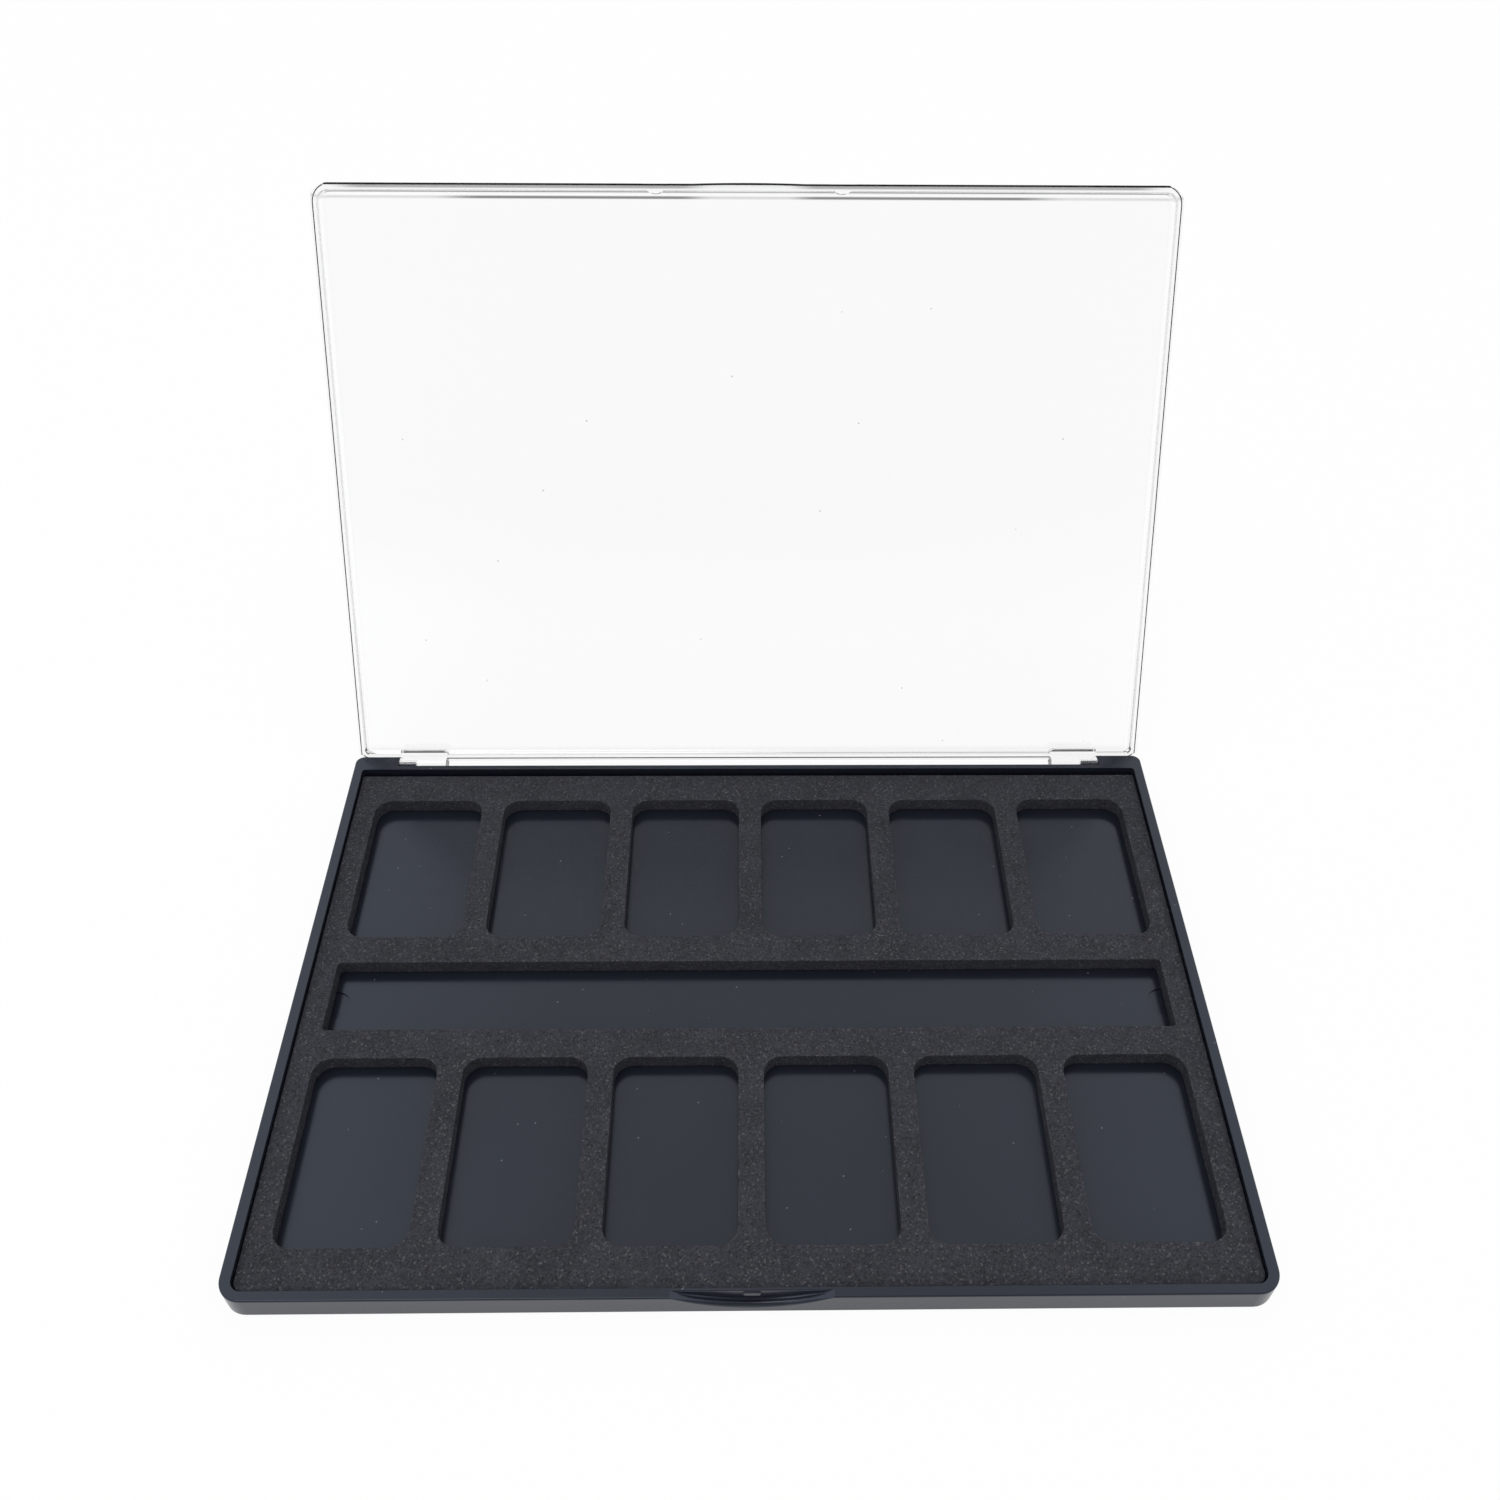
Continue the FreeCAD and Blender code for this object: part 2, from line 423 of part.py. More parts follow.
def make_lid():
    """The clear moulding, drawn shut about the hinge axis and then turned to its open stop."""
    body = new_body("clear_lid")
    inner_side = f"({LID_SIDE} - lid_wall)"
    inner_front = f"({LID_FRONT} - lid_wall)"
    inner_back = f"({LID_BACK} - lid_wall)"

    # Panel and walls
    outline = new_sketch(body, "lid_outline", "XY_Plane", LID_BOTTOM)
    draw_rounded(outline, f"-{LID_SIDE}", LID_SIDE, f"-{LID_FRONT}", LID_BACK,
                 "lid_front_radius", "lid_back_radius")
    block = grow(body, "lid_block", outline, "lid_height")
    top = number(LID_TOP)
    dress(body, "Fillet", "lid_edge", block, "lid_edge_radius",
          lambda box: lies_at(box.ZMin, box.ZMax, top))
    inside = new_sketch(body, "lid_inside_outline", "XY_Plane", LID_BOTTOM)
    draw_rounded(inside, f"-{inner_side}", inner_side, f"-{inner_front}", inner_back,
                 "lid_front_radius - lid_wall", "lid_back_inner_radius")
    hollow = cut(body, "lid_inside", inside, "lid_height - lid_panel", along=True)
    roof = number(f"{LID_TOP} - lid_panel")
    dress(body, "Fillet", "lid_root", hollow, "lid_root_radius",
          lambda box: lies_at(box.ZMin, box.ZMax, roof))
    roll = new_sketch(body, "lid_roll_outline", "YZ_Plane", f"-{HALF_WIDTH}")
    draw_roll(roll, f"-{LID_FRONT}", LID_TOP, "lid_roll_width", "lid_roll_share", "cut_margin")
    cut(body, "lid_roll", roll, "case_width", along=True)

    # Snap tongue in the middle of the front wall, with the bead that goes under the nub
    tongue = new_sketch(body, "tongue_outline", "XZ_Plane", LID_FRONT)
    tongue_drop = f"(tray_height + lid_seat_gap - {TONGUE_BOTTOM})"
    tongue_width = "(scoop_width - 2 * tongue_side_gap)"
    draw_segment(tongue, "0", LID_BOTTOM, tongue_width, tongue_drop, "cut_margin", -1)
    grow(body, "tongue", tongue, "tongue_thickness", backward=True)
    bead = new_sketch(body, "bead_outline", "XZ_Plane", f"{LID_FRONT} - tongue_thickness")
    bead_low = f"{BEAD_BOTTOM} - {AXIS_Z}"
    draw_polygon(bead, (("-bead_width / 2", bead_low), ("bead_width / 2", bead_low),
                        ("bead_width / 2", f"{bead_low} + bead_height"),
                        ("-bead_width / 2", f"{bead_low} + bead_height")))
    grow(body, "bead", bead, "bead_reach", backward=True)

    # Stop face: at the open stop it stands parallel to the tray's back wall
    stop = f"({NOTCH_FACE} - stop_gap)"
    lead = (f"-{stop} * cos(lid_open_angle) - stop_lead * sin(lid_open_angle)",
            f"-{stop} * sin(lid_open_angle) + stop_lead * cos(lid_open_angle)")
    heel = (f"-{stop} * cos(lid_open_angle) + stop_heel * sin(lid_open_angle)",
            f"-{stop} * sin(lid_open_angle) - stop_heel * cos(lid_open_angle)")
    root = f"{LID_TOP} - lug_root_drop"
    step = f"{inner_back} - lug_inner_step"
    lug_corners = (
        (step, LID_BOTTOM),
        ("-knuckle_radius", LID_BOTTOM),
        ("-knuckle_radius", "0"),
        lead,
        heel,
        (heel[0], "lug_back_height"),
        (f"{LID_BACK} - lug_root_sink", root),
        (f"{inner_back} + lug_root_sink", root),
        (step, f"{LID_BOTTOM} + lug_lip_height"),
    )
    for side, outer, inner in (("left", f"-{LUG_END}", f"-{LUG_END} + lug_length"),
                               ("right", LUG_END, f"{LUG_END} - lug_length")):
        low_end = outer if side == "left" else inner
        lug = new_sketch(body, f"lug_{side}_outline", "YZ_Plane", low_end)
        draw_polygon(lug, lug_corners)
        lug_pad = grow(body, f"lug_{side}", lug, "lug_length")
        edge_x, edge_y = number(inner), number(step)
        dress(body, "Chamfer", f"lug_{side}_bevel", lug_pad, "lug_end_bevel",
              lambda box: lies_at(box.XMin, box.XMax, edge_x) and lies_at(box.YMin, box.YMax, edge_y))
        knuckle = new_sketch(body, f"knuckle_{side}_outline", "YZ_Plane", low_end)
        draw_circle(knuckle, "0", "0", "knuckle_radius")
        grow(body, f"knuckle_{side}", knuckle, "lug_length")
        bore = new_sketch(body, f"bore_{side}_outline", "YZ_Plane", outer)
        draw_circle(bore, "0", "0", "pin_radius + pin_lug_gap")
        cut(body, f"bore_{side}", bore, "pin_reach + pin_end_gap", along=side == "left")

        # Room over the ear, so that the back wall clears it as the lid swings
        sign = "-1" if side == "left" else "1"
        relief = new_sketch(body, f"ear_relief_{side}_outline", "XY_Plane", LID_BOTTOM)
        near, far = f"{sign} * {LUG_END}", f"{sign} * ({HALF_WIDTH} + cut_margin)"
        front, back = f"-{NOTCH_FACE} - ear_relief_front", f"{LID_BACK} + cut_margin"
        draw_polygon(relief, ((near, front), (far, front), (far, back), (near, back)))
        cut(body, f"ear_relief_{side}", relief, "ear_relief_height", along=True)

        # Round moulding pad on the front wall, a little below the wall's edge
        pad_middle = f"({sign} * pad_spacing / 2)"
        pad = new_sketch(body, f"pad_{side}_outline", "XY_Plane", LID_BOTTOM)
        draw_segment(pad, pad_middle, f"-{inner_front}", "pad_width", "pad_reach", "(lid_wall / 2)", 1)
        grow(body, f"pad_{side}", pad, "lid_height - lid_panel / 2")
        face = new_sketch(body, f"pad_face_{side}_outline", "XY_Plane", LID_BOTTOM)
        pad_radius = "((pad_width ^ 2 / 4 + pad_reach ^ 2) / (2 * pad_reach))"
        draw_circle(face, pad_middle, f"-{inner_front} + pad_reach - {pad_radius}", pad_radius)
        cut(body, f"pad_face_{side}", face, "pad_recess", along=True)

    # Open stop
    body.Placement = FreeCAD.Placement(FreeCAD.Vector(), FreeCAD.Rotation(FreeCAD.Vector(-1, 0, 0), 1))
    body.setExpression("Placement.Base.y", sized(AXIS_Y))
    body.setExpression("Placement.Base.z", sized(AXIS_Z))
    body.setExpression("Placement.Rotation.Angle", sized("lid_open_angle"))
    doc.recompute()
    return body


def make_pin(side):
    """A steel pin with bevelled ends, from inside one ear's outer face into the lid's lug."""
    body = new_body(f"hinge_pin_{side}")
    inner = f"({LUG_END} - pin_reach)"
    outer = f"({HALF_WIDTH} - pin_recess)"
    start = f"-{outer}" if side == "left" else inner
    section = new_sketch(body, f"pin_{side}_section", "YZ_Plane", start)
    draw_circle(section, AXIS_Y, AXIS_Z, "pin_radius")
    rod = grow(body, f"pin_{side}_rod", section, f"{outer} - {inner}")
    dress(body, "Chamfer", f"pin_{side}_ends", rod, "pin_bevel", lambda box: box.XLength < FLAT)
    return body


pieces = [make_tray(), make_foam(), make_lid(), make_pin("left"), make_pin("right")]
doc.recompute()
for item in doc.Objects:
    if "Invalid" in item.State or "Error" in item.State:
        raise RuntimeError(f"{item.Label} failed: {item.State}")
for piece in pieces:
    if piece.Shape.isNull() or not piece.Shape.isValid() or len(piece.Shape.Solids) != 1:
        raise RuntimeError(f"{piece.Label} isn't one valid solid")

os.makedirs("parts", exist_ok=True)
for piece in pieces:
    piece.Shape.exportStep(f"parts/{piece.Label}.step")
    print(f"{piece.Label}: {piece.Shape.Volume:.1f} mm3, {piece.Shape.Area:.1f} mm2")
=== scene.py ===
"""Looks of the paint case: a black moulded tray, a die-cut foam sheet and a clear lid, open on its pins."""
import math

import bpy
import numpy as np
from mathutils import Matrix, Vector


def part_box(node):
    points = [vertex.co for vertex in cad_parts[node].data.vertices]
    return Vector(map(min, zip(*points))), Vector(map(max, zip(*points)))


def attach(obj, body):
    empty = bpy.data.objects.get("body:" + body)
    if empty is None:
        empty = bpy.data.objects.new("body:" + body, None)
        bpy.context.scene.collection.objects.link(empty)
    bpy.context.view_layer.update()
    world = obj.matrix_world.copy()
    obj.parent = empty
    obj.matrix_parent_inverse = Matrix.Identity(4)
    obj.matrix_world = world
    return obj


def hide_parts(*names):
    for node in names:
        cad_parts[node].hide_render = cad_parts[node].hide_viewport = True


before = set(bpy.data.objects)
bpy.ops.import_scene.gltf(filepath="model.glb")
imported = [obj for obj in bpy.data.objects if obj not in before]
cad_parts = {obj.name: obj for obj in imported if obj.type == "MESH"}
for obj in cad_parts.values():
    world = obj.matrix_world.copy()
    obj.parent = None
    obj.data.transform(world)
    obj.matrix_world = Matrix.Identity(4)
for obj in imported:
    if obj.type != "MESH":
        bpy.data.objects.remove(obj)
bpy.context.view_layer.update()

MM = 0.001
FOAM_LOW, FOAM_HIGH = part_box("foam_insert")
# The hinge axis, the lid's open angle and the way up along its panel, at rest
HINGE_AXIS = Vector((0.0, 85.6, 6.0)) * MM
LID_OPEN = math.radians(118)
PANEL_UP = Vector((0.0, -math.cos(LID_OPEN), math.sin(LID_OPEN)))
# A ray that only crosses the lid's panel meets two faces; one that meets more is turned inside the plastic
TURNED_DEPTH = 2.5


def linear(code):
    """An sRGB hex colour as linear red, green, blue and a full alpha."""
    srgb = [int(code[i:i + 2], 16) / 255 for i in (1, 3, 5)]
    return [c / 12.92 if c <= 0.04045 else ((c + 0.055) / 1.055) ** 2.4 for c in srgb] + [1.0]


def per(size_mm):
    """The texture scale whose cells are that many millimetres across, on coordinates in metres."""
    return 1000.0 / size_mm


def node(tree, kind, inputs=None, **settings):
    """Adds a node. Settings are its properties. Inputs are its sockets, each a value or another node's
    output."""
    made = tree.nodes.new("ShaderNode" + kind)
    for name, value in settings.items():
        setattr(made, name, value)
    for name, value in (inputs or {}).items():
        if isinstance(value, bpy.types.NodeSocket):
            tree.links.new(value, made.inputs[name])
        else:
            made.inputs[name].default_value = value
    return made


def new_material(name):
    """An empty material: its node tree, its output node and the Object coordinates."""
    material = bpy.data.materials.new(name)
    material.use_nodes = True
    tree = material.node_tree
    tree.nodes.clear()
    return material, tree, node(tree, "OutputMaterial"), node(tree, "TexCoord").outputs["Object"]


def stations(lines, counts):
    """Places along a row of intervals: each place is a + (b - a)(t - 0.8 sin(2 pi t) / (2 pi)), for t in even
    steps from 0 to 1, so the places crowd towards each interval's ends, where the corners are."""
    crowding = 0.8
    runs = []
    for a, b, count in zip(lines, lines[1:], counts):
        t = np.arange(count) / count
        runs.append(a + (b - a) * (t - crowding * np.sin(2 * np.pi * t) / (2 * np.pi)))
    return np.concatenate(runs + [np.array(lines[-1:])])


def rectangle_ring(across, along):
    """The closed ring of points round a rectangle, by the front, right, back and left: each side carries the
    stations of that direction."""
    front = np.stack([across[:-1], np.full(len(across) - 1, along[0])], -1)
    right = np.stack([np.full(len(along) - 1, across[-1]), along[:-1]], -1)
    back = np.stack([across[:0:-1], np.full(len(across) - 1, along[-1])], -1)
    left = np.stack([np.full(len(along) - 1, across[0]), along[:0:-1]], -1)
    return np.concatenate([front, right, back, left])


def round_corners(ring, low, high, front_radius, back_radius):
    """Bends the ring of a rectangle onto quarter circles at its corners. A point that is dx and dy from the
    corner, one of them zero, goes to the angle 45 + 45 (dx - dy) / radius degrees about the circle's
    centre."""
    near_low = ring - low < high - ring
    gap = np.where(near_low, ring - low, high - ring)
    inward = np.where(near_low, 1.0, -1.0)
    radius = np.where(near_low[:, 1], front_radius, back_radius)[:, None]
    corner = np.where(near_low, low, high)
    angle = np.radians(45 + 45 * (gap[:, :1] - gap[:, 1:]) / radius)
    arc = corner + inward * radius * (1 - np.concatenate([np.cos(angle), np.sin(angle)], -1))
    return np.where((gap < radius).all(-1, keepdims=True), arc, ring)


def sheet_top(points):
    """Height of the foam's top in millimetres, with the slow wave of a cut sheet that lies in its tray: the
    top less wave (1 + sin(x / 19 + 1.3 sin(y / 31)) cos(y / 23 + x / 57))."""
    wave = 0.045
    x, y = points[..., 0], points[..., 1]
    return FOAM_HIGH.z / MM - wave * (1 + np.sin(x / 19 + 1.3 * np.sin(y / 31)) * np.cos(y / 23 + x / 57))


def tube_faces(first, loops, count):
    """Four-cornered faces between successive closed loops of count points, the first point at index first."""
    loop, step = np.meshgrid(np.arange(loops - 1), np.arange(count), indexing="ij")
    here, there = first + loop * count, first + (loop + 1) * count
    after = (step + 1) % count
    return np.stack([here + step, here + after, there + after, there + step], -1).reshape(-1, 4)


def make_foam():
    """The foam sheet: a grid of cells, each a closed strip that runs from the cell's border over the top,
    round the cut edge, down the hole's wall, which a die leaves a little hollow, and back under to the
    border. One more strip goes round the outside. Points that neighbouring strips share are merged."""
    low, high = np.array(FOAM_LOW[:2]) / MM, np.array(FOAM_HIGH[:2]) / MM
    bottom = FOAM_LOW.z / MM
    border, end_border = 6.35, 10.45
    well, well_gap, row_gap, slot_width = 32.95, 6.7, 8.75, 22.1
    front_radius, back_radius, well_radius, slot_radius = 2.75, 0.75, 5.0, 1.0
    pitch = well + well_gap
    edge_inset = 0.3
    middle = (low[1] + high[1]) / 2
    columns = [low[0] + edge_inset] + [pitch * n for n in range(-2, 3)] + [high[0] - edge_inset]
    slot_half = slot_width / 2
    rows = [low[1] + edge_inset, middle - slot_half - row_gap / 2, middle + slot_half + row_gap / 2,
            high[1] - edge_inset]
    column_counts, row_counts = [28] * 6, [36, 20, 36]

    # The cut edge: how far outside the hole's outline, how far below the top, how pale its grains are drawn.
    # Then the shares of the wall's height and of the way over the top where a loop lies, and the lower edge
    cut_edge = ((0.9, 0.0, 0.0), (0.30, 0.0, 0.5), (0.10, 0.02, 1.0), (0.02, 0.08, 0.6), (0.0, 0.18, 0.0))
    wall_share = np.array([0.15, 0.32, 0.5, 0.68, 0.85])
    wall_hollow = 0.12
    top_share = (0.0, 0.4, 0.75)
    under_edge = ((0.02, 0.15), (0.10, 0.03), (0.40, 0.0))
    points, faces, pale = [], [], []

    def add_strip(loops, tint):
        faces.append(tube_faces(sum(len(p) for p in points), len(loops), len(loops[0])))
        points.extend(loops)
        pale.extend(np.full(len(loop), t) for loop, t in zip(loops, tint))

    def lifted(ring, height):
        return np.concatenate([ring, np.broadcast_to(height, len(ring))[:, None]], -1)

    def add_cell(across_lines, across_counts, along_lines, along_counts, hole_low, hole_high, radius):
        ring = rectangle_ring(stations(across_lines, across_counts), stations(along_lines, along_counts))
        cell_low, cell_high = ring.min(0), ring.max(0)
        share = (ring - cell_low) / (cell_high - cell_low)
        border_ring = round_corners(ring, low + edge_inset, high - edge_inset,
                                    front_radius - edge_inset, back_radius - edge_inset)

        def hole(offset):
            start, end = hole_low - offset, hole_high + offset
            return round_corners(start + share * (end - start), start, end, radius + offset, radius + offset)

        loops, tint = [], []
        for blend in top_share:
            ring_here = border_ring + (hole(cut_edge[0][0]) - border_ring) * blend
            loops.append(lifted(ring_here, sheet_top(ring_here)))
            tint.append(0.0)
        for offset, drop, shade in cut_edge:
            ring_here = hole(offset)
            loops.append(lifted(ring_here, sheet_top(ring_here) - drop))
            tint.append(shade)
        wall_top = sheet_top(hole(0.0)) - cut_edge[-1][1]
        wall_bottom = bottom + under_edge[0][1]
        for part in wall_share:
            ring_here = hole(wall_hollow * math.sin(math.pi * part))
            loops.append(lifted(ring_here, wall_top + (wall_bottom - wall_top) * part))
            tint.append(0.0)
        for offset, rise in under_edge:
            loops.append(lifted(hole(offset), bottom + rise))
            tint.append(0.0)
        loops.append(lifted(border_ring, bottom))
        tint.append(0.0)
        add_strip(loops, tint)

    row_bounds = ((low[1] + end_border, middle - slot_half - row_gap),
                  (middle + slot_half + row_gap, high[1] - end_border))
    for row, (front, back) in zip((0, 2), row_bounds):
        for column in range(6):
            left = low[0] + border + pitch * column
            add_cell(columns[column:column + 2], column_counts[:1], rows[row:row + 2],
                     row_counts[row:row + 1], np.array([left, front]), np.array([left + well, back]),
                     well_radius)
    add_cell(columns, column_counts, rows[1:3], row_counts[1:2],
             np.array([low[0] + border, middle - slot_half]),
             np.array([high[0] - border, middle + slot_half]), slot_radius)

    # Outside: from the bottom up, so that its faces look outwards; each loop's inset and height
    ring = rectangle_ring(stations(columns, column_counts), stations(rows, row_counts))
    share = (ring - ring.min(0)) / (ring.max(0) - ring.min(0))
    outside = ((edge_inset, 0.0), (0.08, 0.05), (0.0, 0.2), (0.06, 1.6), (0.06, 3.2), (0.0, 4.6),
               (0.06, 4.78))
    loops = []
    for inset, rise in outside:
        start, end = low + inset, high - inset
        around = round_corners(start + share * (end - start), start, end, front_radius - inset,
                               back_radius - inset)
        loops.append(lifted(around, bottom + rise))
    top_ring = round_corners(ring, low + edge_inset, high - edge_inset, front_radius - edge_inset,
                             back_radius - edge_inset)
    loops.append(lifted(top_ring, sheet_top(top_ring)))
    add_strip(loops, [0.0] * 6 + [0.7, 0.0])

    spots, place = np.unique(np.round(np.concatenate(points), 5), axis=0, return_inverse=True)
    place = place.reshape(-1)
    tint = np.zeros(len(spots))
    np.maximum.at(tint, place, np.concatenate(pale))
    mesh = bpy.data.meshes.new("foam_sheet")
    mesh.from_pydata(spots * MM, [], place[np.concatenate(faces)])
    mesh.attributes.new("cut_edge", "FLOAT", "POINT").data.foreach_set("value", tint.astype(np.float32))
    mesh.polygons.foreach_set("use_smooth", np.ones(len(mesh.polygons), bool))
    mesh.update()
    foam = bpy.data.objects.new("foam_sheet", mesh)
    bpy.context.scene.collection.objects.link(foam)
    foam.data.materials.append(die_cut_foam())
    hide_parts("foam_insert")
    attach(foam, "tray")


def die_cut_foam():
    """Black polyethylene foam, sliced and die-cut: dull, with cut cells that show as a fine light and dark
    grain."""
    material, tree, output, place = new_material("polyethylene_foam_die_cut")
    # The real cells are about 0.3 mm; they are drawn at 0.42 mm so that they show
    cell = node(tree, "TexVoronoi", {"Vector": place, "Scale": per(0.42)})
    lot = node(tree, "SeparateColor", {0: cell.outputs["Color"]})
    cloud = node(tree, "TexNoise", {"Vector": place, "Scale": per(9), "Detail": 3.0}).outputs["Fac"]
    tone = node(tree, "Math", {0: lot.outputs["Red"], 1: cloud}, operation="ADD").outputs[0]
    level = node(tree, "MapRange", {0: tone, 1: 0.3, 2: 1.7, 3: 0.0, 4: 1.0}).outputs[0]
    cool = node(tree, "Mix", {0: level, 6: linear("#26292F"), 7: linear("#3D4049")},
                data_type="RGBA").outputs[2]
    warm = node(tree, "Mix", {0: level, 6: linear("#2B2A2D"), 7: linear("#424046")},
                data_type="RGBA").outputs[2]
    body = node(tree, "Mix", {0: lot.outputs["Blue"], 6: cool, 7: warm}, data_type="RGBA").outputs[2]
    # One cell in ten lies open to the light, and one in eight is a dark pore
    open_cell = node(tree, "MapRange", {0: lot.outputs["Green"], 1: 0.9, 2: 1.0, 3: 0.0, 4: 0.7}).outputs[0]
    pore = node(tree, "MapRange", {0: lot.outputs["Green"], 1: 0.12, 2: 0.0, 3: 0.0, 4: 0.7}).outputs[0]
    pitted = node(tree, "Mix", {0: pore, 6: body, 7: linear("#1F1F22")}, data_type="RGBA").outputs[2]
    flecked = node(tree, "Mix", {0: open_cell, 6: pitted, 7: linear("#5E5E62")}, data_type="RGBA").outputs[2]
    # A row of pale grains along the cut edge, palest on its rounded top
    edge = node(tree, "Attribute", attribute_name="cut_edge").outputs["Fac"]
    edge_pale = node(tree, "Math", {0: edge, 1: lot.outputs["Red"]}, operation="MULTIPLY").outputs[0]
    share = node(tree, "MapRange", {0: edge_pale, 1: 0.45, 2: 1.0, 3: 0.0, 4: 0.4}).outputs[0]
    colour = node(tree, "Mix", {0: share, 6: flecked, 7: linear("#646466")}, data_type="RGBA").outputs[2]
    bump = node(tree, "Bump", {"Strength": 0.4, "Distance": 0.2 * MM,
                               "Height": cell.outputs["Distance"]}).outputs[0]
    shader = node(tree, "BsdfPrincipled", {"Base Color": colour, "Roughness": 0.9, "Specular IOR Level": 0.2,
                                           "Normal": bump})
    tree.links.new(shader.outputs[0], output.inputs["Surface"])
    return material


def moulded_black():
    """Black polystyrene, injection moulded in a polished mould: a clean gloss with handling smears, a little
    dust, and a faint line round the outside where the mould parts."""
    material, tree, output, place = new_material("polystyrene_moulded_black")
    smear = node(tree, "TexNoise", {"Vector": place, "Scale": per(28), "Detail": 4.0, "Distortion": 0.6})
    gloss = node(tree, "MapRange", {0: smear.outputs["Fac"], 1: 0.3, 2: 0.75, 3: 0.17, 4: 0.24}).outputs[0]
    # Dust 0.5 mm across; a cell of 5.5 mm leaves one speck on each few square centimetres of surface
    dust = node(tree, "TexVoronoi", {"Vector": place, "Scale": per(5.5)}).outputs["Distance"]
    speck = node(tree, "MapRange", {0: dust, 1: 0.02, 2: 0.05, 3: 0.5, 4: 0.0}).outputs[0]
    flow = node(tree, "TexNoise", {"Vector": place, "Scale": per(60), "Detail": 2.0}).outputs["Fac"]
    plastic = node(tree, "Mix", {0: flow, 6: linear("#171922"), 7: linear("#1F222C")},
                   data_type="RGBA").outputs[2]
    colour = node(tree, "Mix", {0: speck, 6: plastic, 7: linear("#8C9096")}, data_type="RGBA").outputs[2]
    height = node(tree, "SeparateXYZ", {0: place}).outputs["Z"]
    parting_height, parting_half = 3.6 * MM, 0.12 * MM
    parting = node(tree, "Math", {0: height, 1: parting_height, 2: parting_half},
                   operation="COMPARE").outputs[0]
    line = node(tree, "Bump", {"Strength": 0.4, "Distance": 0.05 * MM, "Height": parting}).outputs[0]
    ripple = node(tree, "TexNoise", {"Vector": place, "Scale": per(9), "Detail": 1.0}).outputs["Fac"]
    bump = node(tree, "Bump", {"Strength": 0.03, "Distance": 0.5 * MM, "Height": ripple,
                               "Normal": line}).outputs[0]
    shader = node(tree, "BsdfPrincipled", {"Base Color": colour, "Roughness": gloss, "IOR": 1.55,
                                           "Normal": bump, "Specular Tint": (0.82, 0.90, 1.0, 1.0)})
    tree.links.new(shader.outputs[0], output.inputs["Surface"])
    return material


def moulded_clear():
    """Clear polystyrene, injection moulded: colourless in the thin panel, with soft smears and specks of
    dust, and painted grey shade along the front wall's round and its edge, where the real plastic bends the
    light away."""
    material, tree, output, place = new_material("polystyrene_moulded_clear")
    smear = node(tree, "TexNoise", {"Vector": place, "Scale": per(45), "Detail": 4.0, "Distortion": 0.8})
    haze = node(tree, "MapRange", {0: smear.outputs["Fac"], 1: 0.45, 2: 0.8, 3: 0.0, 4: 0.015}).outputs[0]
    # Dust 0.4 mm across, one speck on each ten square centimetres or so
    dust = node(tree, "TexVoronoi", {"Vector": place, "Scale": per(11)}).outputs["Distance"]
    speck = node(tree, "MapRange", {0: dust, 1: 0.012, 2: 0.03, 3: 0.8, 4: 0.0}).outputs[0]
    dusty = node(tree, "Mix", {0: speck, 6: linear("#FFFFFF"), 7: linear("#4A4A48")},
                 data_type="RGBA").outputs[2]
    # Along the front wall the plastic bends the light away. This is painted shade: a soft grey line where the
    #     # panel turns into the wall's round, and a broader one on the wall's edge. A white room has nothing
    #     dark to
    #     # bend, so both are painted into the colour. The tongue breaks both, and the first is faint near the
    #     corners
    painted_corner_shade = (168.95, 0.15, 0.35, (76, 92), 0.3, "#8A8A8A")
    painted_edge_shade = (171.65, 0.25, 0.1, (110, 120), 0.0, "#B2B2B2")
    line_half, tongue_inner, tongue_outer = 0.6 * MM, 10 * MM, 20 * MM
    smooth = {"interpolation_type": "SMOOTHSTEP"}
    up = node(tree, "VectorMath", {0: place, 1: PANEL_UP}, operation="DOT_PRODUCT").outputs["Value"]
    across = node(tree, "SeparateXYZ", {0: place}).outputs["X"]
    aside = node(tree, "Math", {0: across}, operation="ABSOLUTE").outputs[0]
    colour = dusty
    # Millimetres from the hinge axis, half width of the full painted shade, share at the tongue, the stretch
    # from
    #     # the middle over which the line ends, share past that stretch, and the grey of the painted shade
    # Each pass paints one grey line of shade into the lid's colour
    for reach, core, at_tongue, (fading, ended), at_ends, shade_grey in (painted_corner_shade, painted_edge_shade):
        middle = HINGE_AXIS.dot(PANEL_UP) + reach * MM
        off = node(tree, "Math", {0: up, 1: middle}, operation="SUBTRACT").outputs[0]
        gap = node(tree, "Math", {0: off}, operation="ABSOLUTE").outputs[0]
        line = node(tree, "MapRange", {0: gap, 1: core * MM, 2: line_half, 3: 1.0, 4: 0.0}, **smooth)
        tongue = node(tree, "MapRange", {0: aside, 1: tongue_inner, 2: tongue_outer, 3: at_tongue, 4: 1.0},
                      **smooth)
        whole = node(tree, "Math", {0: line.outputs[0], 1: tongue.outputs[0]}, operation="MULTIPLY")
        end = node(tree, "MapRange", {0: aside, 1: fading * MM, 2: ended * MM, 3: 1.0, 4: at_ends}, **smooth)
        painted_shade = node(tree, "Math", {0: whole.outputs[0], 1: end.outputs[0]}, operation="MULTIPLY").outputs[0]
        colour = node(tree, "Mix", {0: painted_shade, 6: colour, 7: linear(shade_grey)}, data_type="RGBA").outputs[2]
    shader = node(tree, "BsdfPrincipled", {"Base Color": colour, "Roughness": haze, "IOR": 1.58,
                                           "Transmission Weight": 1.0})
    body = node(tree, "VolumeAbsorption", {"Color": linear("#303432"), "Density": 5.0})
    tree.links.new(shader.outputs[0], output.inputs["Surface"])
    tree.links.new(body.outputs[0], output.inputs["Volume"])
    return material


